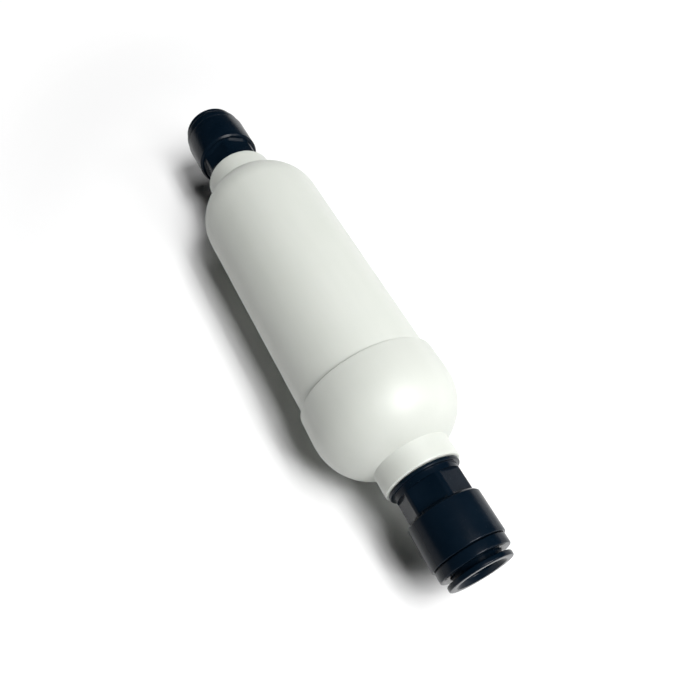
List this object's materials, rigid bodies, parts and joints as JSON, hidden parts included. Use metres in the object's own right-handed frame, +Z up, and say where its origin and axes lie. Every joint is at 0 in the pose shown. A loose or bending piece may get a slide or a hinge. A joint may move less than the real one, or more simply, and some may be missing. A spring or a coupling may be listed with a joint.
{
  "type": "inline water filter",
  "caption": "White capsule water filter cartridge with a domed screw-port at each end, black push-fit tube connectors with sliding release collets, and a packed carbon bed inside.",
  "frame": {"origin": "middle of the overall length, on the axis of the filter", "axes": "+X along the axis towards the inlet end cap, +Z up with the filter lying on its side"},
  "size_m": [0.2318, 0.0544, 0.0544],
  "materials": {
    "white_shell": "moulded polypropylene, fine satin, slightly green white",
    "black_acetal": "moulded black acetal, soft gloss",
    "black_rubber": "moulded O-ring rubber",
    "stainless_steel": "pressed stainless strip",
    "white_nylon": "natural moulded plastic",
    "white_felt": "needled polyester felt",
    "grey_foam": "open-cell foam",
    "granular_carbon": "packed activated carbon granules"
  },
  "bodies": {
    "filter_body": {"housing_shell": "white_shell", "end_cap": "white_shell", "inlet_diffuser_plate": "white_nylon", "outlet_support_plate": "white_nylon", "inlet_foam_pad": "grey_foam", "inlet_felt_pad": "white_felt", "outlet_felt_pad": "white_felt", "carbon_bed": "granular_carbon", "inlet_connector_body": "black_acetal", "inlet_end_ring": "black_acetal", "inlet_tube_o_ring": "black_rubber", "inlet_thread_o_ring": "black_rubber", "inlet_spacer_washer": "white_nylon", "outlet_connector_body": "black_acetal", "outlet_end_ring": "black_acetal", "outlet_tube_o_ring": "black_rubber", "outlet_thread_o_ring": "black_rubber", "outlet_spacer_washer": "white_nylon"},
    "inlet_release_collet": {"inlet_collet": "black_acetal", "inlet_grab_ring": "stainless_steel"},
    "outlet_release_collet": {"outlet_collet": "black_acetal", "outlet_grab_ring": "stainless_steel"}
  },
  "joints": [
    {"name": "inlet_collet_slide", "type": "slide", "parent": "filter_body", "child": "inlet_release_collet", "axis": [-1, 0, 0], "range_m": [0, 0.0014]},
    {"name": "outlet_collet_slide", "type": "slide", "parent": "filter_body", "child": "outlet_release_collet", "axis": [1, 0, 0], "range_m": [0, 0.0014]}
  ]
}
